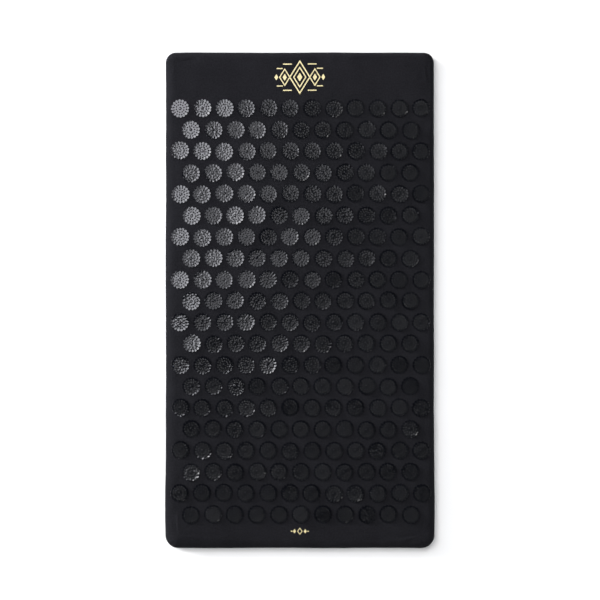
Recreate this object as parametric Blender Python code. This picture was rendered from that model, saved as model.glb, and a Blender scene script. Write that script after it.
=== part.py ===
# Acupressure mat: a foam slab in a cotton cover that carries a field of spiked discs.
# Metres, +Z up, the head end at +Y. The origin is on the floor, under the mat's middle.

import math

import bmesh
import bpy
from mathutils import geometry

# Field of discs: it sets the width and length of the mat
DISC_DIAMETER = 0.0265
COLUMN_GAP = 0.0061
ROW_GAP = 0.00535
COLUMNS = 12
ROWS = 20
FIELD_SHIFT = 0.0018
SIDE_BAND = 0.00115
HEAD_BAND = 0.06525
FOOT_BAND = 0.0341

# Cover
CLOTH = 0.0012
MAT_HEIGHT = 0.020
EDGE_ROLL = 0.0045
HEM_ROLL = 0.004
HEM_WIDTH = 0.008
HEAD_CORNER = 0.0155
FOOT_CORNER = 0.019
CORNER_STEPS = 4
ROLL_STEPS = 3
HEM_STEPS = 2

# Moulded disc: heights stand above the cloth, radii are shares of the disc's radius
PLATE_HEIGHT = 0.0013
SPIKE_HEIGHT = 0.0065
CENTRE_HEIGHT = 0.006
RIM_SPIKES = 8
OUTER_TIP_SHARE = 0.84
RING_SHARE = 0.46
INNER_TIP_SHARE = 0.53
TURN_STEP = math.radians(137.5)

# Closure across the back
CLOSURE_FROM_FOOT = 0.070
FLAP_DEPTH = 0.060
FLAP_LIFT = 0.0003
FLAP_CORNER = 0.004
UNDERLAP_PAST_HINGE = 0.015
JOG_RUN = 0.012
TAPE_WIDTH = 0.020
HOOK_THICKNESS = 0.0012
LOOP_THICKNESS = 0.0012
TAPE_FROM_EDGE = 0.010
TAPE_FROM_SIDE = 0.022

# Gap between touching pieces, and how far a cutter runs past what it cuts
GAP = 0.0003
CUT_OVERRUN = 0.001
MERGE_DISTANCE = 0.000001

# Worked out from the sizes above
DISC_RADIUS = DISC_DIAMETER / 2
COLUMN_PITCH = DISC_DIAMETER + COLUMN_GAP
ROW_PITCH = DISC_DIAMETER + ROW_GAP
FIELD_WIDTH = (COLUMNS - 1) * COLUMN_PITCH
FIELD_LENGTH = (ROWS - 1) * ROW_PITCH
WIDTH = FIELD_WIDTH + DISC_DIAMETER + 2 * (abs(FIELD_SHIFT) + SIDE_BAND + EDGE_ROLL)
LENGTH = FIELD_LENGTH + DISC_DIAMETER + HEAD_BAND + FOOT_BAND + 2 * EDGE_ROLL
FIRST_ROW_Y = LENGTH / 2 - EDGE_ROLL - HEAD_BAND - DISC_RADIUS
FOAM_LOW = CLOTH + GAP
BACK_INSET = HEM_WIDTH + GAP
FLAP_EDGE_Y = CLOSURE_FROM_FOOT - LENGTH / 2
HINGE_Y = FLAP_EDGE_Y + FLAP_DEPTH
UNDERLAP_LIFT = FLAP_LIFT + CLOTH + HOOK_THICKNESS + LOOP_THICKNESS + 3 * GAP


def clear_scene():
    for old in list(bpy.data.objects):
        bpy.data.objects.remove(old, do_unlink=True)


def material(name, color, roughness):
    made = bpy.data.materials.new(name)
    made.use_nodes = True
    shader = made.node_tree.nodes["Principled BSDF"]
    shader.inputs["Base Color"].default_value = (*color, 1)
    shader.inputs["Roughness"].default_value = roughness
    made.diffuse_color = (*color, 1)
    return made


def finished(name, bm, *materials):
    bmesh.ops.recalc_face_normals(bm, faces=bm.faces)
    mesh = bpy.data.meshes.new(name)
    bm.to_mesh(mesh)
    bm.free()
    for each in materials:
        mesh.materials.append(each)
    made = bpy.data.objects.new(name, mesh)
    bpy.context.scene.collection.objects.link(made)
    return made


def rounded_rectangle(low, high, radii):
    """Points anticlockwise from the +X +Y corner; radii in that order, and zero is a square corner."""
    corners = ((high[0], high[1]), (low[0], high[1]), (low[0], low[1]), (high[0], low[1]))
    points = []
    for quarter, ((x, y), radius) in enumerate(zip(corners, radii)):
        if radius == 0:
            points.append((x, y))
            continue
        towards_x = 1 if x == high[0] else -1
        towards_y = 1 if y == high[1] else -1
        centre_x, centre_y = x - towards_x * radius, y - towards_y * radius
        for step in range(CORNER_STEPS + 1):
            angle = (quarter + step / CORNER_STEPS) * math.pi / 2
            points.append((centre_x + radius * math.cos(angle), centre_y + radius * math.sin(angle)))
    return points


def mat_outline(inset):
    half_x, half_y = WIDTH / 2 - inset, LENGTH / 2 - inset
    head, foot = HEAD_CORNER - inset, FOOT_CORNER - inset
    return rounded_rectangle((-half_x, -half_y), (half_x, half_y), (head, head, foot, foot))


def quarter_roll(radius, thickness, steps, centre_z, upper):
    """(inset, z) along a quarter round of the edge, the flat end first; thickness moves it inwards."""
    side = 1 if upper else -1
    reach = radius - thickness
    points = []
    for step in range(steps + 1):
        angle = step / steps * math.pi / 2
        points.append((radius - reach * math.sin(angle), centre_z + side * reach * math.cos(angle)))
    return points


def edge_section(thickness):
    """(inset, z) down the edge from the flat top to the flat underside, this far inside the cover's face."""
    upper = quarter_roll(EDGE_ROLL, thickness, ROLL_STEPS, MAT_HEIGHT - EDGE_ROLL, True)
    lower = quarter_roll(HEM_ROLL, thickness, HEM_STEPS, HEM_ROLL, False)
    return upper + lower[::-1]


def ring(bm, outline, z):
    return [bm.verts.new((x, y, z)) for x, y in outline]


def skin(bm, rings):
    for near, far in zip(rings, rings[1:]):
        for index, vert in enumerate(near):
            after = (index + 1) % len(near)
            bm.faces.new((vert, near[after], far[after], far[index]))


def disc_centres():
    """Rows alternate between the full count and one fewer, set half a pitch in."""
    for row in range(ROWS):
        count = COLUMNS - row % 2
        first_x = FIELD_SHIFT - (count - 1) / 2 * COLUMN_PITCH
        for column in range(count):
            yield first_x + column * COLUMN_PITCH, FIRST_ROW_Y - row * ROW_PITCH


def polar(bm, centre, radius, angle, height):
    x, y = centre
    place = (x + radius * math.cos(angle), y + radius * math.sin(angle), MAT_HEIGHT + height)
    return bm.verts.new(place)


def spike(bm, base, tip):
    for index, vert in enumerate(base):
        bm.faces.new((vert, base[(index + 1) % len(base)], tip)).material_index = 1


def disc(bm, centre, turn):
    """A toothed disc that grows out of the cloth; returns its rim, which is a hole in the top panel."""
    step = 2 * math.pi / RIM_SPIKES
    rim = [polar(bm, centre, DISC_RADIUS, turn + k * step, 0) for k in range(RIM_SPIKES)]
    ring_radius = RING_SHARE * DISC_RADIUS
    inner = [
        polar(bm, centre, ring_radius, turn + (2 * k + 1) * step, PLATE_HEIGHT)
        for k in range(RIM_SPIKES // 2)
    ]
    for k in range(RIM_SPIKES):
        after = rim[(k + 1) % RIM_SPIKES]
        tip = polar(bm, centre, OUTER_TIP_SHARE * DISC_RADIUS, turn + (k + 1 / 2) * step, SPIKE_HEIGHT)
        spike(bm, (rim[k], after, inner[k // 2]), tip)
        if k % 2:
            tip = polar(bm, centre, INNER_TIP_SHARE * DISC_RADIUS, turn + (k + 1) * step, SPIKE_HEIGHT)
            spike(bm, (inner[k // 2], after, inner[(k // 2 + 1) % len(inner)]), tip)
    spike(bm, inner, polar(bm, centre, 0, 0, CENTRE_HEIGHT))
    return rim


def panel_around(bm, outline, rims):
    """Fills the flat panel between its outline and the discs' rims, which stay open."""
    loops = [outline] + rims
    verts = [vert for loop in loops for vert in loop]
    owners = [number for number, loop in enumerate(loops) for _ in loop]
    place = {vert: index for index, vert in enumerate(verts)}
    edges = [(place[a], place[b]) for loop in loops for a, b in zip(loop, loop[1:] + loop[:1])]
    flat = [vert.co.xy for vert in verts]
    found = geometry.delaunay_2d_cdt(flat, edges, [], 1, MERGE_DISTANCE)
    originals = [same[0] for same in found[3]]
    for triangle in found[2]:
        corners = [originals[index] for index in triangle]
        if len({owners[index] for index in corners}) > 1 or owners[corners[0]] == 0:
            bm.faces.new([verts[index] for index in corners])


def top_cover(cotton, plastic):
    """Top panel, rolled edge and hem of the cover, with the discs welded to the panel."""
    bm = bmesh.new()
    outside = [ring(bm, mat_outline(inset), z) for inset, z in edge_section(0)]
    inside = [ring(bm, mat_outline(inset), z) for inset, z in edge_section(CLOTH)]
    hem = [ring(bm, mat_outline(HEM_WIDTH), z) for z in (0, CLOTH)]
    skin(bm, outside + hem + inside[::-1])
    bm.faces.new(inside[0])
    rims = [disc(bm, centre, index * TURN_STEP) for index, centre in enumerate(disc_centres())]
    panel_around(bm, outside[0], rims)
    return finished("top_cover", bm, cotton, plastic)


def closure_pocket():
    """Cutter for the dent that the closure presses into the underside of the foam."""
    floor = FOAM_LOW - CUT_OVERRUN
    ceiling = FOAM_LOW + UNDERLAP_LIFT
    slope = JOG_RUN / UNDERLAP_LIFT
    jog_end = FLAP_EDGE_Y
    back = HINGE_Y + UNDERLAP_PAST_HINGE + GAP
    profile = (
        (jog_end - JOG_RUN - CUT_OVERRUN * slope, floor),
        (back, floor),
        (back, ceiling),
        (jog_end, ceiling),
    )
    half = WIDTH / 2 - HEM_WIDTH
    bm = bmesh.new()
    face = bm.faces.new([bm.verts.new((-half, y, z)) for y, z in profile])
    pushed = bmesh.ops.extrude_face_region(bm, geom=[face])["geom"]
    verts = [each for each in pushed if isinstance(each, bmesh.types.BMVert)]
    bmesh.ops.translate(bm, vec=(2 * half, 0, 0), verts=verts)
    cutter = finished("closure_pocket", bm)
    cutter.hide_render = True
    cutter.display_type = "WIRE"
    return cutter


def foam_core(foam):
    bm = bmesh.new()
    rings = [ring(bm, mat_outline(inset), z) for inset, z in edge_section(CLOTH + GAP)]
    skin(bm, rings)
    bm.faces.new(rings[0])
    bm.faces.new(rings[-1])
    made = finished("foam_core", bm, foam)
    cut = made.modifiers.new("closure pocket", "BOOLEAN")
    cut.operation = "DIFFERENCE"
    cut.solver = "EXACT"
    cut.object = closure_pocket()
    return made


def sheet(name, low, high, radii, bottom, thickness, *materials):
    """A flat piece of cloth or tape with its lower face at bottom."""
    outline = rounded_rectangle(low, high, radii)
    bm = bmesh.new()
    rings = [ring(bm, outline, z) for z in (bottom, bottom + thickness)]
    skin(bm, rings)
    for each in rings:
        bm.faces.new(each)
    return finished(name, bm, *materials)


def back_panel(cotton):
    half, end = WIDTH / 2 - BACK_INSET, LENGTH / 2 - BACK_INSET
    corner = HEAD_CORNER - BACK_INSET
    return sheet(
        "back_panel", (-half, HINGE_Y + GAP / 2), (half, end), (corner, corner, 0, 0), 0, CLOTH, cotton
    )


def back_foot_panel(cotton):
    """The short part of the back: flat at the foot, then it steps up into the foam over the flap."""
    half, end = WIDTH / 2 - BACK_INSET, LENGTH / 2 - BACK_INSET
    corner = FOOT_CORNER - BACK_INSET
    high_y = HINGE_Y + UNDERLAP_PAST_HINGE
    outline = rounded_rectangle((-half, -end), (half, high_y), (0, 0, corner, corner))
    bm = bmesh.new()
    bm.faces.new(ring(bm, outline, 0))
    for line_y in (FLAP_EDGE_Y - JOG_RUN, FLAP_EDGE_Y):
        everything = bm.verts[:] + bm.edges[:] + bm.faces[:]
        bmesh.ops.bisect_plane(bm, geom=everything, plane_co=(0, line_y, 0), plane_no=(0, 1, 0))
    pushed = bmesh.ops.extrude_face_region(bm, geom=bm.faces[:])["geom"]
    verts = [each for each in pushed if isinstance(each, bmesh.types.BMVert)]
    bmesh.ops.translate(bm, vec=(0, 0, CLOTH), verts=verts)
    raised = [vert for vert in bm.verts if vert.co.y > FLAP_EDGE_Y - JOG_RUN / 2]
    bmesh.ops.translate(bm, vec=(0, 0, UNDERLAP_LIFT), verts=raised)
    return finished("back_foot_panel", bm, cotton)


def tape(name, bottom, thickness, fleece):
    half = WIDTH / 2 - BACK_INSET - TAPE_FROM_SIDE
    low_y = FLAP_EDGE_Y + TAPE_FROM_EDGE
    return sheet(
        name, (-half, low_y), (half, low_y + TAPE_WIDTH), (0, 0, 0, 0), bottom, thickness, fleece
    )


def closure_flap(cotton):
    half = WIDTH / 2 - BACK_INSET
    return sheet(
        "closure_flap",
        (-half, FLAP_EDGE_Y),
        (half, HINGE_Y - GAP / 2),
        (0, 0, FLAP_CORNER, FLAP_CORNER),
        FLAP_LIFT,
        CLOTH,
        cotton,
    )


def hang_on_hinge(*pieces):
    """The flap folds open about a line across the back, in the plane of its outer face."""
    hinge = bpy.data.objects.new("flap_hinge", None)
    hinge.location = (0, HINGE_Y, 0)
    bpy.context.scene.collection.objects.link(hinge)
    for piece in pieces:
        for vert in piece.data.vertices:
            vert.co.y -= HINGE_Y
        piece.parent = hinge


def build():
    clear_scene()
    cotton = material("black cotton", (0.018, 0.017, 0.021), 0.92)
    plastic = material("black moulded plastic", (0.012, 0.012, 0.013), 0.35)
    foam = material("open cell foam", (0.62, 0.6, 0.53), 0.95)
    hooks = material("hook tape", (0.013, 0.013, 0.014), 0.6)
    loops = material("loop tape", (0.015, 0.015, 0.016), 0.95)
    top_cover(cotton, plastic)
    foam_core(foam)
    back_panel(cotton)
    back_foot_panel(cotton)
    hook_bottom = FLAP_LIFT + CLOTH + GAP
    loop_bottom = hook_bottom + HOOK_THICKNESS + GAP
    tape("loop_tape", loop_bottom, LOOP_THICKNESS, loops)
    hang_on_hinge(closure_flap(cotton), tape("hook_tape", hook_bottom, HOOK_THICKNESS, hooks))


build()
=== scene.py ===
import math
import random

import bmesh
import bpy
from mathutils import Matrix, Vector, noise


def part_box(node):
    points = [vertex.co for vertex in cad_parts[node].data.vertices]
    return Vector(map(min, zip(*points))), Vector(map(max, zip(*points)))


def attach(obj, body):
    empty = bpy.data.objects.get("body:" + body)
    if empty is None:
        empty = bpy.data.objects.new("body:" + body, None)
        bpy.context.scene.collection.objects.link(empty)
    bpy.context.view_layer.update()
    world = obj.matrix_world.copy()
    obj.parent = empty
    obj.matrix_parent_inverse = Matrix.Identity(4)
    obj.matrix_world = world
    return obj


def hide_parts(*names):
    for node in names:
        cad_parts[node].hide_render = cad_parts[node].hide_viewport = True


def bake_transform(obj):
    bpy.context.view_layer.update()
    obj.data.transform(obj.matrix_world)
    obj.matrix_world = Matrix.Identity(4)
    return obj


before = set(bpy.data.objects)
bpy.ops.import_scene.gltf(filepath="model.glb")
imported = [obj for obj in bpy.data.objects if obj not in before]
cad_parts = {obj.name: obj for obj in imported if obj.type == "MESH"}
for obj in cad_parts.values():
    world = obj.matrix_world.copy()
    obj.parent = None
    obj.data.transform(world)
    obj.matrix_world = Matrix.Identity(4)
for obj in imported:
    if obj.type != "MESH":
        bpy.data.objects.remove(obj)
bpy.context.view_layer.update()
dice = random.Random(6050)

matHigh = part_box("top_cover")[1]
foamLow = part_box("foam_core")[0]
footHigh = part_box("back_foot_panel")[1]
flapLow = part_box("closure_flap")[0]
hookLow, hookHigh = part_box("hook_tape")
loopLow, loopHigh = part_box("loop_tape")
endRoom = 0.0004             # room at the head and foot ends for the outline's drift
halfWidth = matHigh.x
halfLength = matHigh.y - endRoom
mergeGap = 0.00002


# Shader helpers

def feed(tree, node, values):
    for name, value in values.items():
        if isinstance(value, bpy.types.NodeSocket):
            tree.links.new(value, node.inputs[name])
        else:
            node.inputs[name].default_value = value


def addNode(tree, kind, values=None, **settings):
    node = tree.nodes.new("ShaderNode" + kind)
    for name, value in settings.items():
        setattr(node, name, value)
    feed(tree, node, values or {})
    return node


def useGroup(tree, group, values):
    return addNode(tree, "Group", values, node_tree=group).outputs


def startGroup(name, inputs, outputs):
    tree = bpy.data.node_groups.new(name, "ShaderNodeTree")
    for label, kind, value in inputs:
        socket = tree.interface.new_socket(label, in_out="INPUT", socket_type="NodeSocket" + kind)
        if value is not None:
            socket.default_value = value
    for label in outputs:
        tree.interface.new_socket(label, in_out="OUTPUT", socket_type="NodeSocketFloat")
    return tree, tree.nodes.new("NodeGroupInput").outputs, tree.nodes.new("NodeGroupOutput").inputs


def maths(tree, operation, first, second=0.0):
    return addNode(tree, "Math", {0: first, 1: second}, operation=operation).outputs[0]


def ramped(tree, value, low, high, newLow, newHigh):
    return addNode(tree, "MapRange", {0: value, 1: low, 2: high, 3: newLow, 4: newHigh}).outputs[0]


def noiseNode(tree, spot, scale, detail, roughness=0.5):
    values = {"Vector": spot, "Scale": scale, "Detail": detail, "Roughness": roughness}
    return addNode(tree, "TexNoise", values).outputs["Fac"]


# Threads that cross over and under, with a little unevenness along each one. Their tone is painted darker in
# the hollows between the threads and lighter on their crowns, which is painted shade and highlight; the
# unevenness adds the threads' own uneven tone
def weaveGroup():
    tree, given, result = startGroup(
        "plainWeave",
        [("Vector", "Vector", None), ("Threads per metre", "Float", 1500.0), ("Unevenness", "Float", 0.5)],
        ["Height", "Tone"],
    )
    slub = noiseNode(tree, given["Vector"], 260.0, 2.0)
    push = maths(tree, "MULTIPLY", slub, given["Unevenness"])
    split = addNode(tree, "SeparateXYZ", {0: given["Vector"]}).outputs
    waves = []
    for axis in ("X", "Y"):
        turns = maths(tree, "MULTIPLY", split[axis], given["Threads per metre"])
        turns = maths(tree, "ADD", turns, push)
        waves.append(maths(tree, "SINE", maths(tree, "MULTIPLY", turns, math.pi)))
    crossing = maths(tree, "MULTIPLY", waves[0], waves[1])
    height = maths(tree, "ADD", maths(tree, "MULTIPLY", crossing, 0.5), 0.5)
    tree.links.new(height, result["Height"])
    # Painted shade: the tone follows the weave's height, darker in its hollows and lighter on the crowns; the
    # push is the threads' own uneven tone
    tree.links.new(maths(tree, "ADD", maths(tree, "MULTIPLY", height, 0.7), push), result["Tone"])
    return tree


# Light and dark patches, large or small
def patchesGroup():
    tree, given, result = startGroup(
        "slowPatches", [("Vector", "Vector", None), ("Patches per metre", "Float", 20.0)], ["Tone"]
    )
    large = noiseNode(tree, given["Vector"], given["Patches per metre"], 5.0, 0.62)
    tree.links.new(ramped(tree, large, 0.3, 0.7, 0.0, 1.0), result["Tone"])
    return tree


# Spots that handling has rubbed duller
def rubbingGroup():
    tree, given, result = startGroup(
        "rubbing", [("Vector", "Vector", None), ("Amount", "Float", 0.5)], ["Mask"]
    )
    cut = ramped(tree, noiseNode(tree, given["Vector"], 90.0, 6.0, 0.7), 0.5, 0.72, 0.0, 1.0)
    tree.links.new(maths(tree, "MULTIPLY", cut, given["Amount"]), result["Mask"])
    return tree


def startMaterial(name, roughness):
    made = bpy.data.materials.new(name)
    made.use_nodes = True
    tree = made.node_tree
    shader = tree.nodes["Principled BSDF"]
    shader.inputs["Roughness"].default_value = roughness
    return made, tree, shader


def objectSpot(tree):
    return addNode(tree, "TexCoord").outputs["Object"]


def blendColors(tree, factor, first, second):
    values = {"Factor": factor, "A": (*first, 1), "B": (*second, 1)}
    return addNode(tree, "Mix", values, data_type="RGBA").outputs["Result"]


def bumped(tree, shader, height, distance, strength=1.0):
    bump = addNode(tree, "Bump", {"Height": height, "Distance": distance, "Strength": strength})
    tree.links.new(bump.outputs["Normal"], shader.inputs["Normal"])


weave = weaveGroup()
patches = patchesGroup()
rubbing = rubbingGroup()


# Finishes

cottonFinish = {
    "threads": 1900.0,       # per metre, as the patches are
    "unevenness": 0.6,
    "slowPatches": 16.0,
    "finePatches": 420.0,
    "shares": (0.25, 0.25, 0.5),         # of threads, slow patches and fine ones in the colour
    "roughness": (0.86, 0.97),
    "reflection": 0.03,
    "sheenRoughness": 0.5,
    "threadHeight": 0.0001,
    "threadStrength": 0.7,
}


def cottonMaterial(name, dark, light, sheen):
    s = cottonFinish
    made, tree, shader = startMaterial(name, s["roughness"][0])
    spot = addNode(tree, "UVMap", uv_map="cloth").outputs["UV"]
    given = {"Vector": spot, "Threads per metre": s["threads"], "Unevenness": s["unevenness"]}
    threads = useGroup(tree, weave, given)
    slow = useGroup(tree, patches, {"Vector": spot, "Patches per metre": s["slowPatches"]})
    fine = useGroup(tree, patches, {"Vector": spot, "Patches per metre": s["finePatches"]})
    parts = []
    for part, share in zip((threads, slow, fine), s["shares"]):
        parts.append(maths(tree, "MULTIPLY", part["Tone"], share))
    # The threads' part of this tone carries the weave's painted shade; the patches are the cloth's own uneven
    # tone
    tone = maths(tree, "ADD", maths(tree, "ADD", parts[0], parts[1]), parts[2])
    feed(tree, shader, {
        "Base Color": blendColors(tree, tone, dark, light),
        "Roughness": ramped(tree, slow["Tone"], 0.0, 1.0, *s["roughness"]),
        "Specular IOR Level": s["reflection"],
        "Sheen Weight": sheen,
        "Sheen Roughness": s["sheenRoughness"],
    })
    bumped(tree, shader, threads["Height"], s["threadHeight"], s["threadStrength"])
    return made


discFinish = {
    "dark": (0.0004, 0.0006, 0.0016),
    "light": (0.0010, 0.0013, 0.0028),
    "patches": 45.0,
    "rubbed": 0.35,
    "roughness": (0.09, 0.15),           # polished, and where it is rubbed most
    "index": 1.53,
    "waves": 330.0,          # per metre; the moulding isn't quite flat
    "waveHeight": 0.0002,
}


def discMaterial():
    s = discFinish
    made, tree, shader = startMaterial("mouldedBlackPlastic", s["roughness"][0])
    spot = objectSpot(tree)
    slow = useGroup(tree, patches, {"Vector": spot, "Patches per metre": s["patches"]})
    rubbed = useGroup(tree, rubbing, {"Vector": spot, "Amount": s["rubbed"]})
    feed(tree, shader, {
        "Base Color": blendColors(tree, slow["Tone"], s["dark"], s["light"]),
        "Roughness": ramped(tree, rubbed["Mask"], 0.0, s["rubbed"], *s["roughness"]),
        "IOR": s["index"],
    })
    bumped(tree, shader, noiseNode(tree, spot, s["waves"], 0.0), s["waveHeight"])
    return made


foamFinish = {
    "dark": (0.62, 0.58, 0.46),
    "light": (0.8, 0.77, 0.66),
    "roughness": 0.95,
    "cells": 900.0,
    "patches": 30.0,
    "cellDepth": 0.0004,
}


def foamMaterial():
    s = foamFinish
    made, tree, shader = startMaterial("openCellFoam", s["roughness"])
    spot = objectSpot(tree)
    cells = addNode(tree, "TexVoronoi", {"Vector": spot, "Scale": s["cells"]}).outputs["Distance"]
    slow = useGroup(tree, patches, {"Vector": spot, "Patches per metre": s["patches"]})
    # Painted shade: the colour is darkest in the middle of each cell, where the bump sinks it into a pit; the
    # slow patches are the foam's own uneven tone
    tone = maths(tree, "MULTIPLY", cells, slow["Tone"])
    tree.links.new(blendColors(tree, tone, s["dark"], s["light"]), shader.inputs["Base Color"])
    bumped(tree, shader, cells, s["cellDepth"])
    return made


goldFinish = {
    "dark": (0.46, 0.39, 0.19),
    "light": (0.61, 0.53, 0.28),
    "roughness": (0.42, 0.6),
    "patches": 300.0,
    "patchHeight": 0.00005,
}


def printMaterial():
    s = goldFinish
    made, tree, shader = startMaterial("goldPrint", s["roughness"][0])
    slow = useGroup(tree, patches, {"Vector": objectSpot(tree), "Patches per metre": s["patches"]})
    feed(tree, shader, {
        "Base Color": blendColors(tree, slow["Tone"], s["dark"], s["light"]),
        "Roughness": ramped(tree, slow["Tone"], 0.0, 1.0, *s["roughness"]),
    })
    bumped(tree, shader, slow["Tone"], s["patchHeight"])
    return made


def fibreMaterial(name, dark, light, roughness, scale, depth):
    made, tree, shader = startMaterial(name, roughness)
    pile = noiseNode(tree, objectSpot(tree), scale, 6.0)
    tree.links.new(blendColors(tree, pile, dark, light), shader.inputs["Base Color"])
    bumped(tree, shader, pile, depth)
    return made


coverCotton = cottonMaterial("coverCotton", (0.0017, 0.0017, 0.0025), (0.0139, 0.0139, 0.0164), 0.02)
backCotton = cottonMaterial("backCotton", (0.006, 0.0057, 0.0075), (0.022, 0.0212, 0.0255), 0.04)
blackPlastic = discMaterial()
coreFoam = foamMaterial()
goldPrint = printMaterial()
hookNylon = fibreMaterial("hookNylon", (0.012, 0.012, 0.013), (0.022, 0.022, 0.024), 0.4, 700.0, 0.00005)
loopPile = fibreMaterial("loopPile", (0.012, 0.012, 0.013), (0.03, 0.03, 0.032), 0.95, 1400.0, 0.0005)
sewingThread = fibreMaterial(
    "sewingThread", (0.016, 0.015, 0.018), (0.034, 0.033, 0.038), 0.8, 2500.0, 0.0001
)
print("materials made")


# Where the cloth lies

matShape = {
    "clothTop": 0.020,       # height of the cloth between the discs
    "underside": 0.0003,
    "halfThickness": 0.0085,
    "cloth": 0.0009,
    "headCorner": 0.0155,
    "footCorner": 0.019,
    "leastCorner": 0.0005,
    "cell": 0.004,
    "cornerCells": 8,
    "rollWidth": 0.011,      # the top turns down over this much of the edge
    "rollLean": (-0.0027, -0.0024),      # wider at the left and foot edges than at the others
    "rollDrop": 0.0088,
    "rollPower": 2.15,
    "rollTurns": (12, 24, 35, 45, 54, 63, 72, 81, 90),   # degrees round the roll, one for each step
    "slopeWidth": 0.027,     # a gentle fall that starts further in
    "slopeDrop": 0.0010,
    "wallShares": (0.33, 0.67, 1.0),
    "wallBulge": 0.0001,
    "tuckWidth": 0.0058,     # the side turns under to the hem
    "tuckHeight": 0.0072,
    "tuckTurns": (15, 30, 45, 60, 75, 90),
    "hemWidth": 0.008,
    "hemTurn": (0.0003, 0.0005),         # the hem's edge turns up over this width, by this height
    "dimpleDepth": 0.0005,   # where each disc presses in
    "dimpleWidth": 0.012,
    "rippleHeight": 0.00028,
    "rippleScale": 22,
    "puckerHeight": 0.00045,
    "puckerFolds": ((11, 1.7, 1.0), (19, 2.9, 0.6)),     # folds per radian, corner's change, strength
    "puckerPlace": (0.85, 0.9),          # where they are strongest and how far they run, in corner radii
    "wrinkleHeight": 0.0009,             # where the cloth is gathered along the edges
    "wrinkleWidth": 0.012,
    "wrinkleScale": 55,
    "ruffleHeight": 0.0004,              # unevenness of the side
    "ruffleScales": (60, 40),
    "footFlare": 0.0012,     # the foot end was sewn a little wider
    "flareY": -0.31,
    "flareLength": 0.055,
    "edgeWander": 0.0005,
    "wanderScale": 11,
    "flatUnder": 0.011,      # cloth from the roll's foot to the hem, measured flat
    "flatCorners": 0.985,    # share of the flat rectangle that its round corners leave
}

discField = {
    "rows": 20,
    "columns": 12,
    "pitchX": 0.0326,
    "pitchY": 0.03185,
    "shiftX": 0.0015,
    "firstRowY": 0.2858,
    "wander": 0.0005,        # how far off its place a disc was pressed on
    "tilt": math.radians(1.2),
    "footing": 0.008,        # a disc leans with the cloth this far round its middle
    "lift": 0.0002,
}


def mixed(low, high, share):
    return low + (high - low) * share


def eased(value):
    value = min(max(value, 0.0), 1.0)
    return value * value * (3 - 2 * value)


# Smooth noise from -1 to 1, and a rougher kind; each use has a layer of its own
def noiseAt(x, y, scale, layer):
    return noise.noise(Vector((x * scale, y * scale, layer)))


def roughAt(x, y, scale, layer):
    return noise.fractal(Vector((x * scale, y * scale, layer)), 0.9, 2.1, 3)


def cornerAt(share):
    return mixed(matShape["footCorner"], matShape["headCorner"], eased(share))


# Corner radius, and how far a place is past the middle of the nearest corner's arc
def pastCorner(x, y):
    corner = cornerAt((y / halfLength + 1) / 2)
    return corner, abs(x) - (halfWidth - corner), abs(y) - (halfLength - corner)


# Share of a side that is straight, and the cells along the whole side
def sideCells(half):
    straight = round(2 * (half - matShape["headCorner"]) / matShape["cell"])
    whole = straight + 2 * matShape["cornerCells"]
    return straight / whole, whole


shareX, cellsX = sideCells(halfWidth)
shareY, cellsY = sideCells(halfLength)


# A point of the mat from u and v, which run from -1 to 1; the square's corners become round ones
def outlinePlace(u, v, inset):
    corner = cornerAt((v + 1) / 2)
    radius = max(corner - inset, matShape["leastCorner"])
    spots, leans = [], []
    for value, half, share in ((u, halfWidth, shareX), (v, halfLength, shareY)):
        spots.append(math.copysign(min(abs(value) / share, 1.0) * (half - corner), value))
        leans.append(max(abs(value) - share, 0.0) / (1 - share))
    length = math.hypot(*leans)
    if length > 0:
        reach = max(leans) * radius / length
        spots[0] += math.copysign(leans[0] * reach, u)
        spots[1] += math.copysign(leans[1] * reach, v)
    return spots


# How far inside the outline a place is
def insideBy(x, y):
    corner, overX, overY = pastCorner(x, y)
    return corner - math.hypot(max(overX, 0), max(overY, 0)) - min(max(overX, overY), 0)


# Small sideways drift of the sewn outline, the same for every layer
def drifted(x, y):
    s = matShape
    flare = math.exp(-((y - s["flareY"]) / s["flareLength"]) ** 2) * s["footFlare"]
    driftX = noiseAt(x, y, s["wanderScale"], 3.3)
    driftY = noiseAt(x, y, s["wanderScale"], 8.1)
    return x + x / halfWidth * flare + s["edgeWander"] * driftX, y + s["edgeWander"] * driftY


def firstDiscX(count):
    return discField["shiftX"] - (count - 1) / 2 * discField["pitchX"]


def discPlaces():
    s = discField
    found = []
    for row in range(s["rows"]):
        count = s["columns"] - row % 2
        line = []
        for column in range(count):
            x = firstDiscX(count) + column * s["pitchX"] + dice.gauss(0, 1) * s["wander"]
            y = s["firstRowY"] - row * s["pitchY"] + dice.gauss(0, 1) * s["wander"]
            line.append((x, y))
        found.append(line)
    return found


discSpots = discPlaces()


# Distance to the nearest disc's middle
def nearestDisc(x, y):
    row = round((discField["firstRowY"] - y) / discField["pitchY"])
    if not 0 <= row < len(discSpots):
        return 1.0
    count = len(discSpots[row])
    column = min(max(round((x - firstDiscX(count)) / discField["pitchX"]), 0), count - 1)
    near = discSpots[row][column]
    return math.hypot(x - near[0], y - near[1])


def rollAt(u, v):
    lean = matShape["rollLean"]
    return matShape["rollWidth"] + lean[0] * u + lean[1] * v


def rollDrop(inset, roll):
    s = matShape
    gentle = s["slopeDrop"] * max(0.0, 1 - inset / s["slopeWidth"]) ** 2
    over = min(max(1 - inset / roll, 0.0), 1.0)
    return gentle + s["rollDrop"] * (1 - (1 - over ** s["rollPower"]) ** (1 / s["rollPower"]))


# Puckers that run in from the corners, where the seam gathers the cloth
def cornerPucker(x, y):
    corner, dx, dy = pastCorner(x, y)
    away = math.hypot(dx, dy)
    strongest, run = matShape["puckerPlace"]
    near = math.exp(-((away - corner * strongest) / (run * corner)) ** 2)
    turn = math.atan2(dy, dx)
    seed = (x > 0) + 2 * (y > 0)
    waves = 0.0
    for folds, change, strength in matShape["puckerFolds"]:
        waves += strength * math.sin(turn * folds + seed * change)
    return matShape["puckerHeight"] * near * waves * eased(away / corner)


def edgeWrinkle(x, y):
    return matShape["wrinkleHeight"] * noiseAt(x, y, matShape["wrinkleScale"], 5.7)


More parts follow.
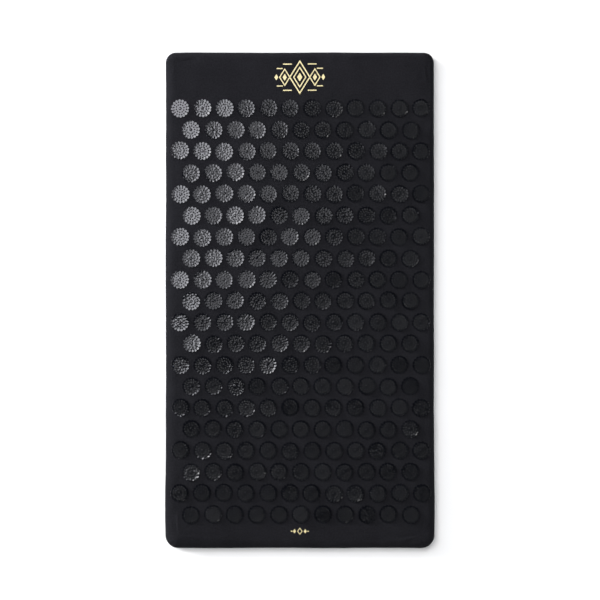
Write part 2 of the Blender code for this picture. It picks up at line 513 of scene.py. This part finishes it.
# Height of the cloth, this far in from the edge, before puckers, wrinkles and discs
def clothHeight(x, y, inset):
    s = matShape
    roll = rollAt(x / halfWidth, y / halfLength)
    ripple = s["rippleHeight"] * roughAt(x, y, s["rippleScale"], 0.4)
    return s["clothTop"] - rollDrop(inset, roll) + eased(inset / roll) * ripple


def panelHeight(x, y, inset):
    dimple = matShape["dimpleDepth"] * math.exp(-(nearestDisc(x, y) / matShape["dimpleWidth"]) ** 4)
    past = (inset - rollAt(x / halfWidth, y / halfLength)) / matShape["wrinkleWidth"]
    gathered = edgeWrinkle(x, y) * (1 - eased(past))
    return clothHeight(x, y, inset) - dimple + cornerPucker(x, y) + gathered


# Making pieces

def addObject(name, data):
    made = bpy.data.objects.new(name, data)
    bpy.context.scene.collection.objects.link(made)
    return made


def finishPiece(name, bm, material, body, sharpAngle):
    mesh = bpy.data.meshes.new(name)
    bm.to_mesh(mesh)
    bm.free()
    mesh.materials.append(material)
    mesh.shade_smooth()
    mesh.set_sharp_from_angle(angle=math.radians(sharpAngle))
    made = addObject(name, mesh)
    if body:
        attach(made, body)
    return made


def pushedParts(result, kind):
    return [each for each in result["geom"] if isinstance(each, kind)]


def clothMap(bm, spotOf):
    uvLayer = bm.loops.layers.uv.new("cloth")
    for face in bm.faces:
        for loop in face.loops:
            loop[uvLayer].uv = spotOf(loop.vert)


def driftAll(bm):
    for vert in bm.verts:
        vert.co.x, vert.co.y = drifted(vert.co.x, vert.co.y)


def addThickness(made, thickness):
    wall = made.modifiers.new("cloth thickness", "SOLIDIFY")
    wall.thickness = thickness
    wall.offset = -1


# A grid of square cells that are this many times as wide as the cover's own
def matGrid(bm, cellScale):
    across, along = round(cellsX / cellScale), round(cellsY / cellScale)
    return bmesh.ops.create_grid(bm, x_segments=across, y_segments=along, size=1)["verts"]


# The side as (inset, height) pairs from the roll's start down to the hem
def sideSteps(roll, inward):
    s = matShape
    steps = []
    for turn in s["rollTurns"]:
        inset = roll * (1 - math.sin(math.radians(turn)) ** (2 / s["rollPower"]))
        steps.append((inset, s["clothTop"] - rollDrop(inset, roll)))
    low, top = s["tuckHeight"], steps[-1][1]
    for share in s["wallShares"]:
        steps.append((-s["wallBulge"] * math.sin(share * math.pi), mixed(top, low, share)))
    for turn in s["tuckTurns"]:
        angle = math.radians(turn)
        height = s["underside"] + (low - s["underside"]) * (1 - math.sin(angle))
        steps.append((s["tuckWidth"] * (1 - math.cos(angle)), height))
    if not inward:
        return steps
    middle = mixed(s["clothTop"], s["underside"], 0.5)
    shrink = 1 - inward / s["halfThickness"]
    return [(inset + inward, middle + (height - middle) * shrink) for inset, height in steps]


# A slab's skin: the top grid, then its rim pushed out and down round the edge
def slabSkin(bm, inward, cellScale, extraSteps):
    s = matShape
    layers = [bm.verts.layers.float.new(name) for name in ("u", "v", "flatX", "flatY")]
    uLayer, vLayer, flatX, flatY = layers
    for vert in matGrid(bm, cellScale):
        u, v = vert.co.x, vert.co.y
        x, y = outlinePlace(u, v, rollAt(u, v) + inward)
        vert[uLayer], vert[vLayer] = u, v
        vert[flatX], vert[flatY] = x, y
        vert.co = (x, y, panelHeight(x, y, insideBy(x, y)) - inward)
    rim = [edge for edge in bm.edges if edge.is_boundary]
    stepCount = len(sideSteps(s["rollWidth"], inward)) + len(extraSteps)
    for step in range(stepCount):
        pushed = bmesh.ops.extrude_edge_only(bm, edges=rim)
        rim = pushedParts(pushed, bmesh.types.BMEdge)
        for vert in pushedParts(pushed, bmesh.types.BMVert):
            u, v = vert[uLayer], vert[vLayer]
            roll = rollAt(u, v)
            steps = [(roll + inward, s["clothTop"])] + sideSteps(roll, inward) + extraSteps
            inset, level = steps[step + 1]
            length = sum(math.dist(steps[k], steps[k + 1]) for k in range(step + 1))
            x, y = outlinePlace(u, v, inset)
            start = Vector(outlinePlace(u, v, roll + inward))
            away = (Vector(outlinePlace(u, v, 0)) - start).normalized()
            high = (level - s["tuckHeight"]) / (s["clothTop"] - s["tuckHeight"])
            lift = (cornerPucker(x, y) + edgeWrinkle(x, y)) * eased(high)
            sideways, upward = s["ruffleScales"]
            ruffle = s["ruffleHeight"] * noiseAt(x, y, sideways, level * upward) * (1 - abs(2 * high - 1))
            out = away * (ruffle if 0 < high < 1 else 0.0)
            vert.co = (x + out.x, y + out.y, level + lift)
            vert[flatX], vert[flatY] = start.x + away.x * length, start.y + away.y * length
    return flatX, flatY


def makeCover():
    s = matShape
    bm = bmesh.new()
    hem, low = s["hemWidth"], s["underside"]
    back, up = s["hemTurn"]
    turned = [(mixed(s["tuckWidth"], hem, 0.5), low), (hem - back, low), (hem, low + up)]
    flatX, flatY = slabSkin(bm, 0.0, 1.0, turned)
    clothMap(bm, lambda vert: (vert[flatX], vert[flatY]))
    driftAll(bm)
    made = finishPiece("cottonCover", bm, coverCotton, "mat", 75)
    addThickness(made, s["cloth"])
    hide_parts("top_cover")
    return made


cover = makeCover()
print("cover made", len(cover.data.polygons))


# Foam slab inside

foamShape = {
    "gap": 0.0004,
    "cellScale": 2.0,
    "dentSoftness": 0.010,
    "dentPastFlap": 0.012,   # the dent is full from this far on the foot side of the flap
    "dentBelow": 0.009,      # only the foam's lower half gives way
}


# How far the closure pushes the foam's underside up
def dentHeight(y):
    soft = foamShape["dentSoftness"]
    rise = footHigh.z + foamShape["gap"] - foamLow.z
    front = (y - (flapLow.y - foamShape["dentPastFlap"] - soft)) / soft
    back = (footHigh.y + soft - y) / soft
    return rise * min(eased(front), eased(back))


def makeFoam():
    bm = bmesh.new()
    inward = matShape["cloth"] + foamShape["gap"]
    slabSkin(bm, inward, foamShape["cellScale"], [])
    lowest = min(vert.co.z for vert in bm.verts)
    for vert in matGrid(bm, foamShape["cellScale"]):
        x, y = outlinePlace(vert.co.x, vert.co.y, matShape["tuckWidth"] + inward)
        vert.co = (x, y, lowest)
    for vert in bm.verts:
        if vert.co.z < foamShape["dentBelow"]:
            vert.co.z = max(vert.co.z, lowest + dentHeight(vert.co.y))
    bmesh.ops.remove_doubles(bm, verts=bm.verts, dist=mergeGap)
    bmesh.ops.recalc_face_normals(bm, faces=bm.faces)
    driftAll(bm)
    made = finishPiece("foamSlab", bm, coreFoam, "mat", 50)
    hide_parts("foam_core")


makeFoam()
print("foam made")


# Back: one cloth whose end is the flap, a second one that reaches under it, and their tapes

backShape = {
    "inset": 0.0083,
    "lowFace": 0.0003,
    "cloth": 0.0008,
    "freeCorner": 0.004,
    "freeCornerTurns": (20, 45, 70),
    "cellScale": 1.5,
    "waveHeight": 0.00012,
    "waveScale": 30,
    "jogStart": -0.312,      # the foot part rises from here to where it lies over the flap
    "jogHeight": 0.0046,
    "jogSlack": 0.0014,      # extra length that the rise takes
    "sideWidth": 0.008,      # it comes down again to the hem at its two sides
    "sideHeight": 0.0014,
}


# A cloth with the mat's outline between two lines across it
def backSheet(bm, lowY, highY, heightAt, roundFreeEnd):
    s = backShape
    for vert in matGrid(bm, s["cellScale"]):
        vert.co.x, vert.co.y = outlinePlace(vert.co.x, vert.co.y, s["inset"])
    cuts = []
    if lowY is not None:
        cuts.append(((0, lowY, 0), (0, -1, 0)))
    if highY is not None:
        cuts.append(((0, highY, 0), (0, 1, 0)))
    if roundFreeEnd:
        reach = halfWidth - s["inset"] - s["freeCorner"]
        for side in (-1, 1):
            for turn in s["freeCornerTurns"]:
                away = (side * math.cos(math.radians(turn)), -math.sin(math.radians(turn)), 0)
                middle = Vector((side * reach, lowY + s["freeCorner"], 0))
                cuts.append((middle + Vector(away) * s["freeCorner"], away))
    for spot, away in cuts:
        everything = bm.verts[:] + bm.edges[:] + bm.faces[:]
        bmesh.ops.bisect_plane(
            bm, geom=everything, plane_co=spot, plane_no=away, clear_outer=True, dist=mergeGap
        )
    for vert in bm.verts:
        wave = roughAt(vert.co.x, vert.co.y, s["waveScale"], 6.2)
        vert.co.z = heightAt(vert.co.x, vert.co.y) + s["waveHeight"] * wave
    bmesh.ops.reverse_faces(bm, faces=bm.faces)
    clothMap(bm, lambda vert: (vert.co.x, vert.co.y))
    driftAll(bm)


def makeBackCloth():
    bm = bmesh.new()
    backSheet(bm, flapLow.y, None, lambda x, y: backShape["lowFace"], True)
    made = finishPiece("backCloth", bm, backCotton, None, 60)
    addThickness(made, backShape["cloth"])
    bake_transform(made)
    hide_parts("back_panel", "closure_flap")


def footHeight(x, y):
    s = backShape
    inner = eased((halfWidth - s["inset"] - abs(x)) / s["sideWidth"])
    jog = mixed(s["sideHeight"], s["jogHeight"], inner)
    return s["lowFace"] + jog * eased((y - s["jogStart"]) / (flapLow.y - s["jogStart"]))


def makeBackFootCloth():
    s = backShape
    bm = bmesh.new()
    backSheet(bm, None, footHigh.y, footHeight, False)
    made = finishPiece("backFootCloth", bm, backCotton, "mat", 60)
    addThickness(made, s["cloth"])
    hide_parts("back_foot_panel")


tapeShape = {
    "strip": 0.0006,
    "gap": 0.00004,          # between a tape and the cloth that it is sewn to
    "rounding": 0.00012,
    "selvage": 0.0013,
    "hookPitchX": 0.00125,
    "hookPitchY": 0.0018,
    "hookShiftY": 0.0004,
    "hookSunk": 0.0001,
    "hookRadius": 0.00013,
    "hookBend": [(0, -0.05), (0.0, 0.55), (0.14, 0.84), (0.32, 0.9), (0.46, 0.72)],      # in hook heights
    "loopCell": 0.0009,
    "pileScale": 900,
    "pileRise": 0.0001,
    "pileUneven": 0.0006,
    "pileEdge": 0.0012,      # the pile thins out over this much of its edge
    "pileSunk": 0.00002,
}


def addBlock(bm, low, high):
    made = bmesh.ops.create_cube(bm, size=1)["verts"]
    for vert in made:
        vert.co = [low[k] if vert.co[k] < 0 else high[k] for k in range(3)]
    edges = list({edge for vert in made for edge in vert.link_edges})
    bmesh.ops.bevel(
        bm, geom=edges, offset=tapeShape["rounding"], segments=2, profile=0.5, affect="EDGES", material=-1
    )


# Copies of one small form, each put in its place by a matrix
def addCopies(bm, build, matrices):
    small = bmesh.new()
    build(small)
    spots = [vert.co.copy() for vert in small.verts]
    small.verts.index_update()
    faces = [[vert.index for vert in face.verts] for face in small.faces]
    small.free()
    for matrix in matrices:
        verts = [bm.verts.new(matrix @ spot) for spot in spots]
        for face in faces:
            bm.faces.new([verts[k] for k in face])


def buildHook(bm):
    s = tapeShape
    tall = hookHigh.z - backShape["lowFace"] - backShape["cloth"] - s["strip"]
    bmesh.ops.create_circle(bm, cap_ends=False, segments=3, radius=s["hookRadius"])
    rim = bm.edges[:]
    for before, after in zip(s["hookBend"], s["hookBend"][1:]):
        pushed = bmesh.ops.extrude_edge_only(bm, edges=rim)
        rim = pushedParts(pushed, bmesh.types.BMEdge)
        step = Vector((0, after[0] - before[0], after[1] - before[1])) * tall
        bmesh.ops.translate(bm, vec=step, verts=pushedParts(pushed, bmesh.types.BMVert))
    bmesh.ops.holes_fill(bm, edges=bm.edges, sides=3)
    bmesh.ops.recalc_face_normals(bm, faces=bm.faces)


def makeHookTape():
    s = tapeShape
    bm = bmesh.new()
    bottom = backShape["lowFace"] + backShape["cloth"] + s["gap"]
    top = bottom + s["strip"]
    addBlock(bm, (hookLow.x, hookLow.y, bottom), (hookHigh.x, hookHigh.y, top))
    columns = int((hookHigh.x - hookLow.x - 2 * s["selvage"]) / s["hookPitchX"])
    rows = int((hookHigh.y - hookLow.y - 2 * s["selvage"]) / s["hookPitchY"])
    spots = []
    for row in range(rows + 1):
        for column in range(columns + 1):
            x = hookLow.x + s["selvage"] + (column + 0.5 * (row % 2)) * s["hookPitchX"]
            y = hookLow.y + s["selvage"] + row * s["hookPitchY"] + s["hookShiftY"]
            turn = Matrix.Rotation(math.pi * (row % 2), 4, "Z")
            spots.append(Matrix.Translation((x, y, top - s["hookSunk"])) @ turn)
    addCopies(bm, buildHook, spots)
    driftAll(bm)
    made = finishPiece("hookTape", bm, hookNylon, "flap", 50)
    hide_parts("hook_tape")


def makeLoopTape():
    s = tapeShape
    bm = bmesh.new()
    top = backShape["lowFace"] + backShape["jogHeight"] - s["gap"]
    bottom = top - s["strip"]
    addBlock(bm, (loopLow.x, loopLow.y, bottom), (loopHigh.x, loopHigh.y, top))
    inner = s["selvage"]
    sizeX, sizeY = loopHigh.x - loopLow.x - 2 * inner, loopHigh.y - loopLow.y - 2 * inner
    pile = bmesh.ops.create_grid(
        bm, x_segments=round(sizeX / s["loopCell"]), y_segments=round(sizeY / s["loopCell"]), size=0.5
    )["verts"]
    middle = (loopLow + loopHigh) / 2
    for vert in pile:
        edge = min((0.5 - abs(vert.co.x)) * sizeX, (0.5 - abs(vert.co.y)) * sizeY)
        x, y = middle.x + vert.co.x * sizeX, middle.y + vert.co.y * sizeY
        rough = 0.5 + 0.5 * noiseAt(x, y, s["pileScale"], 0)
        face = loopLow.z + s["pileRise"] + s["pileUneven"] * rough
        vert.co = (x, y, mixed(bottom + s["pileSunk"], face, eased(edge / s["pileEdge"])))
    faces = list({face for vert in pile for face in vert.link_faces})
    bmesh.ops.reverse_faces(bm, faces=faces)
    driftAll(bm)
    made = finishPiece("loopTape", bm, loopPile, "mat", 60)
    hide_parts("loop_tape")


makeBackCloth()
makeBackFootCloth()
makeHookTape()
makeLoopTape()
print("back made")


# Seams

seam = {
    "pitch": 0.0034,
    "stitch": (0.0026, 0.00055, 0.0004),
    "hemInset": 0.0066,
    "hemPoints": 96,
    "tapeInset": 0.0007,     # from a tape's long edges
    "tapeEnd": 0.001,
    "flapInset": 0.0035,     # from the flap's free edge
    "flapEnd": 0.004,
}


def buildStitch(bm):
    bmesh.ops.create_uvsphere(bm, u_segments=6, v_segments=4, radius=0.5)


def makeThread(name, body, runs):
    length, width, height = seam["stitch"]
    shape = Matrix.Diagonal((length, width, height, 1))
    spots = []
    for points in runs:
        left = 0.0
        for start, end in zip(points, points[1:]):
            step = Vector(end) - Vector(start)
            turn = Matrix.Rotation(math.atan2(step.y, step.x), 4, "Z")
            while left <= step.length:
                spot = Vector(start) + step * (left / step.length)
                spots.append(Matrix.Translation(spot) @ turn @ shape)
                left += seam["pitch"]
            left -= step.length
    bm = bmesh.new()
    addCopies(bm, buildStitch, spots)
    driftAll(bm)
    finishPiece(name, bm, sewingThread, body, 80)


def runAcross(reach, y, z):
    return [(-reach, y, z), (reach, y, z)]


def makeThreads():
    around = []
    for k in range(seam["hemPoints"] + 1):
        turn = k / seam["hemPoints"] * 2 * math.pi
        widest = max(abs(math.cos(turn)), abs(math.sin(turn)))
        spot = outlinePlace(math.cos(turn) / widest, math.sin(turn) / widest, seam["hemInset"])
        around.append((*spot, matShape["underside"]))
    under = backShape["lowFace"]
    tapeTop = under + backShape["cloth"] + tapeShape["strip"] + tapeShape["gap"]
    loopFace = under + backShape["jogHeight"] - tapeShape["strip"] - tapeShape["gap"]
    edges = hookLow.y + seam["tapeInset"], hookHigh.y - seam["tapeInset"]
    tapeReach = hookHigh.x - seam["tapeEnd"]
    flapReach = halfWidth - backShape["inset"] - seam["flapEnd"]
    flapRuns = [runAcross(tapeReach, y, z) for y in edges for z in (under, tapeTop)]
    flapRuns.append(runAcross(flapReach, flapLow.y + seam["flapInset"], under))
    makeThread("hemThread", "mat", [around])
    makeThread("flapThread", "flap", flapRuns)
    makeThread("loopThread", "mat", [runAcross(tapeReach, y, loopFace) for y in edges])


makeThreads()
print("threads made")


# Printed ornaments, plain ones of lozenges and bars

def lozenge(halfX, halfY):
    return [(halfX, 0), (0, halfY), (-halfX, 0), (0, -halfY)]


def bar(halfX, halfY):
    return [(halfX, -halfY), (halfX, halfY), (-halfX, halfY), (-halfX, -halfY)]


# Each part has its place to both sides of the middle, its outline and the width of its stroke
ornaments = {
    "raised": 0.00012,
    "thick": 0.00012,
    "piece": 0.0025,
    "leastInner": 0.02,
    "head": (0.0, 0.3325),
    "headParts": [
        (0, 0, lozenge(0.016, 0.0255), 0.0021),
        (0, 0, lozenge(0.0100, 0.0160), 0.0019),
        (0, 0, lozenge(0.0038, 0.0064), 0.0038),
        (0.0225, 0, lozenge(0.0085, 0.0135), 0.0018),
        (0.0225, 0, lozenge(0.0032, 0.0052), 0.0032),
        (0.0350, 0, lozenge(0.0028, 0.0046), 0.0028),
        (0.0185, 0.0195, bar(0.0065, 0.0008), 0.0008),
        (0.0185, -0.0195, bar(0.0065, 0.0008), 0.0008),
        (0.0300, 0.0130, bar(0.0045, 0.0008), 0.0008),
        (0.0300, -0.0130, bar(0.0045, 0.0008), 0.0008),
    ],
    "foot": (0.0, -0.3440),
    "footParts": [
        (0, 0, lozenge(0.0040, 0.0054), 0.0013),
        (0.0080, 0, lozenge(0.0023, 0.0033), 0.0023),
        (0.0122, 0, bar(0.0012, 0.0007), 0.0007),
    ],
}


# A closed band between a four-cornered outline and its smaller copy, laid on the cloth
def addBand(bm, middle, corners, stroke):
    low = ornaments["raised"]
    high = low + ornaments["thick"]
    reach = min(max(abs(x) for x, y in corners), max(abs(y) for x, y in corners))
    inner = max(1 - stroke / reach, ornaments["leastInner"])
    between = mixed(1, inner, 0.5)
    around = []
    for k in range(4):
        start, end = Vector(corners[k]), Vector(corners[(k + 1) % 4])
        parts = max(round((end - start).length / ornaments["piece"]), 1)
        around += [start.lerp(end, part / parts) for part in range(parts)]
    rings = []
    for share, raised in ((1, low), (1, high), (between, high), (inner, high), (inner, low), (between, low)):
        ring = []
        for spot in around:
            x, y = middle[0] + spot.x * share, middle[1] + spot.y * share
            ring.append(bm.verts.new((x, y, panelHeight(x, y, insideBy(x, y)) + raised)))
        rings.append(ring)
    count = len(around)
    for first, second in zip(rings, rings[1:] + rings[:1]):
        for k in range(count):
            after = (k + 1) % count
            bm.faces.new((first[k], first[after], second[after], second[k]))


def makeOrnament(name, middle, parts):
    bm = bmesh.new()
    for dx, dy, corners, stroke in parts:
        for side in ((-1, 1) if dx else (1,)):
            addBand(bm, (middle[0] + side * dx, middle[1] + dy), corners, stroke)
    bmesh.ops.recalc_face_normals(bm, faces=bm.faces)
    driftAll(bm)
    finishPiece(name, bm, goldPrint, "mat", 50)


makeOrnament("headOrnament", ornaments["head"], ornaments["headParts"])
makeOrnament("footOrnament", ornaments["foot"], ornaments["footParts"])
print("ornaments made")


# Discs

discShape = {
    "petals": 16,
    "petalSides": 6,
    "petalCentre": 0.0118,   # each petal of the rim is a part of a small circle
    "petalRadius": 0.00205,
    "notchRadius": 0.0108,
    "wallInset": 0.0001,
    "edgeHeight": 0.0011,
    "petalInset": 0.0003,
    "petalHeight": 0.0015,
    "rootRadius": 0.0103,
    "rootHeight": 0.0013,
    "plateRadius": 0.0096,
    "plateHeight": 0.00128,
    "outerSpikes": {"count": 16, "ring": 0.0095, "offset": 0.5, "base": 0.0014, "tip": 0.0056},
    "innerSpikes": {"count": 10, "ring": 0.0058, "offset": 0.0, "base": 0.0014, "tip": 0.0058},
    "spikeSides": 6,
    "spikeSunk": 0.0002,
    "pointRadius": 0.00002,
    "spikeWaist": (0.62, 0.42),          # share of the base's radius at this share of the height
    "centreRings": [(0.0026, 0.0), (0.0020, 0.25), (0.0016, 0.7), (0.0014, 0.95), (0.0012, 1.0)],
    "centreSides": 10,
    "centreHeight": 0.0060,
}


# Radius of the scalloped rim: a petal's own arc, or the notch between two petals
def rimRadius(index):
    s = discShape
    sides = s["petalSides"]
    if index % sides == sides // 2:
        return s["notchRadius"]
    fromAxis = ((index % sides + sides / 2) % sides - sides / 2) / sides * 2 * math.pi / s["petals"]
    aside = s["petalCentre"] * math.sin(fromAxis)
    return s["petalCentre"] * math.cos(fromAxis) + math.sqrt(max(s["petalRadius"] ** 2 - aside ** 2, 0))


def ringPlace(vert, radiusAt, heightAt):
    sides = discShape["petals"] * discShape["petalSides"]
    index = round(math.atan2(vert.co.y, vert.co.x) / (2 * math.pi) * sides) % sides
    turn = index / sides * 2 * math.pi
    radius = radiusAt(index)
    vert.co = (radius * math.cos(turn), radius * math.sin(turn), heightAt(index))


# Grows the plate by one ring, whose radius and height come from the two functions
def growRing(bm, face, radiusAt, heightAt):
    pushed = bmesh.ops.extrude_face_region(bm, geom=[face])
    for vert in pushedParts(pushed, bmesh.types.BMVert):
        ringPlace(vert, radiusAt, heightAt)
    bmesh.ops.delete(bm, geom=[face], context="FACES_ONLY")
    return pushedParts(pushed, bmesh.types.BMFace)[0]


def addSpike(bm, x, y, rings, sides):
    base = bmesh.ops.create_circle(bm, cap_ends=False, segments=sides, radius=rings[0][0])["verts"]
    bmesh.ops.translate(bm, vec=(x, y, rings[0][1]), verts=base)
    rim = [edge for edge in bm.edges if edge.verts[0] in base and edge.verts[1] in base]
    for (before, _), (radius, height) in zip(rings, rings[1:]):
        pushed = bmesh.ops.extrude_edge_only(bm, edges=rim)
        rim = pushedParts(pushed, bmesh.types.BMEdge)
        verts = pushedParts(pushed, bmesh.types.BMVert)
        share = radius / before
        for vert in verts:
            vert.co = (x + (vert.co.x - x) * share, y + (vert.co.y - y) * share, height)
    return verts


def discTemplate(bm):
    s = discShape
    notch = s["petalSides"] // 2
    bmesh.ops.create_circle(bm, cap_ends=True, segments=s["petals"] * s["petalSides"], radius=s["rootRadius"])
    for vert in bm.verts:
        ringPlace(vert, lambda k: rimRadius(k) - s["wallInset"], lambda k: 0.0)
    face = growRing(bm, bm.faces[:][0], rimRadius, lambda k: s["edgeHeight"])
    face = growRing(
        bm, face, lambda k: rimRadius(k) - s["petalInset"],
        lambda k: s["rootHeight"] if k % s["petalSides"] == notch else s["petalHeight"],
    )
    face = growRing(bm, face, lambda k: s["rootRadius"], lambda k: s["rootHeight"])
    growRing(bm, face, lambda k: s["plateRadius"], lambda k: s["plateHeight"])
    low = s["plateHeight"] - s["spikeSunk"]
    slimmer, waistShare = s["spikeWaist"]
    for ring in (s["outerSpikes"], s["innerSpikes"]):
        base, high = ring["base"], ring["tip"]
        rings = [(base, low), (base * slimmer, mixed(low, high, waistShare)), (s["pointRadius"], high)]
        for k in range(ring["count"]):
            turn = (k + ring["offset"]) / ring["count"] * 2 * math.pi
            spot = ring["ring"] * math.cos(turn), ring["ring"] * math.sin(turn)
            tip = addSpike(bm, *spot, rings, s["spikeSides"])
            bmesh.ops.pointmerge(bm, verts=tip, merge_co=(*spot, high))
    rings = [(radius, mixed(low, s["centreHeight"], share)) for radius, share in s["centreRings"]]
    bmesh.ops.contextual_create(bm, geom=addSpike(bm, 0, 0, rings, s["centreSides"]))


def discMatrix(x, y):
    reach = discField["footing"]
    heights = []
    for nearX, nearY in ((x + reach, y), (x - reach, y), (x, y + reach), (x, y - reach)):
        heights.append(clothHeight(nearX, nearY, insideBy(nearX, nearY)))
    leanX = (heights[1] - heights[0]) / (2 * reach) + dice.gauss(0, 1) * discField["tilt"]
    leanY = (heights[3] - heights[2]) / (2 * reach) + dice.gauss(0, 1) * discField["tilt"]
    up = Vector((leanX, leanY, 1)).normalized()
    turn = Matrix.Rotation(dice.uniform(0, 2 * math.pi), 4, "Z")
    tip = Vector((0, 0, 1)).rotation_difference(up).to_matrix().to_4x4()
    height = sum(heights) / 4 - matShape["dimpleDepth"] + discField["lift"]
    return Matrix.Translation((*drifted(x, y), height)) @ tip @ turn


def makeDiscRows():
    made = []
    for row, line in enumerate(discSpots):
        bm = bmesh.new()
        addCopies(bm, discTemplate, [discMatrix(x, y) for x, y in line])
        made.append(finishPiece(f"discRow{row + 1:02d}", bm, blackPlastic, "mat", 32))
    return made


discRows = makeDiscRows()
print("disc rows made", len(discRows), sum(len(row.data.polygons) for row in discRows))


# Floor, light and camera

studio = {
    "suns": [                # azimuth, height, strength and spread
        ("key", 135, 60, 1.75, 34),
        ("low", 153, 12, 6.0, 20),
        ("fill", 315, 50, 1.35, 26),
        ("rear", 65, 42, 0.35, 24),
    ],
    "boxes": [               # a corner, the edges from it, the power, and whether matt surfaces get its light
        ("softbox", (-0.240, -0.108, 1.0), (0.101, 0.703, 0.0), (-0.445, 0.064, 0.0), 7.3, False),
        ("sideBox", (0.060, 0.110, 1.0), (-0.196, 0.290, 0.0), (-0.290, -0.196, 0.0), 0.6, False),
        ("leftBox", (-0.45, 0.00, 0.84), (0.0, 0.6, 0.0), (-0.36, 0.0, -0.48), 4.6, True),
    ],
    "boxColor": (0.985, 0.992, 1.07),
    "worldColor": (0.96, 0.99, 1.07, 1),
    "worldShade": 0.07,
    "overheadShade": 0.27,
    "overheadAxis": (-0.035, 0.10, 1.0),
    "overheadEdge": -0.972,
    "horizonShade": 0.55,
    "horizonFade": -0.7,
    "belowShade": 0.85,
    "belowFade": 0.12,
    "seenShade": 0.8,
    "floorSize": 8,
    "floorZ": -0.0002,
    "floorColor": (0.9, 0.9, 0.9, 1),
    "contact": 0.009,        # the floor lets rays through that start this close to it
}


def makeFloor():
    bm = bmesh.new()
    bmesh.ops.create_grid(bm, x_segments=1, y_segments=1, size=studio["floorSize"])
    mesh = bpy.data.meshes.new("floor")
    bm.to_mesh(mesh)
    bm.free()
    floor = addObject("floor", mesh)
    floor.location.z = studio["floorZ"]
    made, tree, shader = startMaterial("whiteFloor", 0.9)
    feed(tree, shader, {"Base Color": studio["floorColor"], "Specular IOR Level": 0.0})
    behind = addNode(tree, "NewGeometry").outputs["Backfacing"]
    length = addNode(tree, "LightPath").outputs["Ray Length"]
    near = maths(tree, "LESS_THAN", length, studio["contact"])
    clear = addNode(tree, "BsdfTransparent").outputs[0]
    passed = maths(tree, "MAXIMUM", behind, near)
    mix = addNode(tree, "MixShader", {0: passed, 1: shader.outputs[0], 2: clear})
    tree.links.new(mix.outputs[0], tree.nodes["Material Output"].inputs["Surface"])
    mesh.materials.append(made)


def makeSuns():
    for name, turn, rise, strength, spread in studio["suns"]:
        sun = bpy.data.lights.new(name, "SUN")
        sun.energy = strength
        sun.angle = math.radians(spread)
        turn, rise = math.radians(turn), math.radians(rise)
        towards = Vector((math.cos(turn) * math.cos(rise), math.sin(turn) * math.cos(rise), math.sin(rise)))
        lamp = addObject(name, sun)
        lamp.rotation_mode = "QUATERNION"
        lamp.rotation_quaternion = towards.to_track_quat("Z", "Y")
        lamp.location = towards * 2


def makeBoxes():
    for name, corner, first, second, power, lightsMatt in studio["boxes"]:
        first, second = Vector(first), Vector(second)
        area = bpy.data.lights.new(name, "AREA")
        area.shape = "RECTANGLE"
        area.size, area.size_y = first.length, second.length
        area.energy = power
        area.color = studio["boxColor"]
        box = addObject(name, area)
        facing = first.cross(second).normalized()
        axes = Matrix((first.normalized(), second.normalized(), facing)).transposed()
        box.matrix_world = Matrix.Translation(Vector(corner) + (first + second) / 2) @ axes.to_4x4()
        box.visible_camera = False
        box.visible_diffuse = lightsMatt


def makeWorld():
    s = studio
    world = bpy.data.worlds.new("studio")
    world.use_nodes = True
    tree = world.node_tree
    plain = tree.nodes["Background"]
    incoming = addNode(tree, "NewGeometry").outputs["Incoming"]
    upward = addNode(tree, "SeparateXYZ", {0: incoming}).outputs["Z"]
    sky = ramped(tree, upward, s["horizonFade"], 0.0, s["worldShade"], s["horizonShade"])
    below = ramped(tree, upward, 0.0, s["belowFade"], 0.0, s["belowShade"] - s["horizonShade"])
    axis = Vector(s["overheadAxis"]).normalized()
    facing = addNode(tree, "VectorMath", {0: incoming, 1: axis}, operation="DOT_PRODUCT").outputs["Value"]
    overhead = ramped(tree, facing, -1.0, s["overheadEdge"], s["overheadShade"] - s["worldShade"], 0.0)
    sky = maths(tree, "ADD", sky, overhead)
    feed(tree, plain, {"Strength": maths(tree, "ADD", sky, below), "Color": s["worldColor"]})
    seen = addNode(tree, "Background", {"Color": (s["seenShade"], s["seenShade"], s["seenShade"], 1)})
    camera = addNode(tree, "LightPath").outputs["Is Camera Ray"]
    mix = addNode(tree, "MixShader", {0: camera, 1: plain.outputs[0], 2: seen.outputs[0]})
    tree.links.new(mix.outputs[0], tree.nodes["World Output"].inputs["Surface"])
    bpy.context.scene.world = world


cameraView = {
    "height": 6.0,
    "frameWidth": 0.8952,    # what the 600 pixels of the photograph's width span at the mat
    "levelZ": 0.012,
    "aim": (0.00015, 0.0004),
    "sensor": 36,
    "farthest": 50,
}


def makeCamera():
    s = cameraView
    data = bpy.data.cameras.new("camera")
    data.sensor_width = s["sensor"]
    data.lens = s["sensor"] * (s["height"] - s["levelZ"]) / s["frameWidth"]
    data.clip_end = s["farthest"]
    camera = addObject("camera", data)
    camera.location = (*s["aim"], s["height"])
    bpy.context.scene.camera = camera


makeFloor()
makeSuns()
makeBoxes()
makeWorld()
makeCamera()
bpy.context.scene.view_settings.view_transform = "Standard"
bpy.context.scene.view_settings.look = "None"
print("studio made")
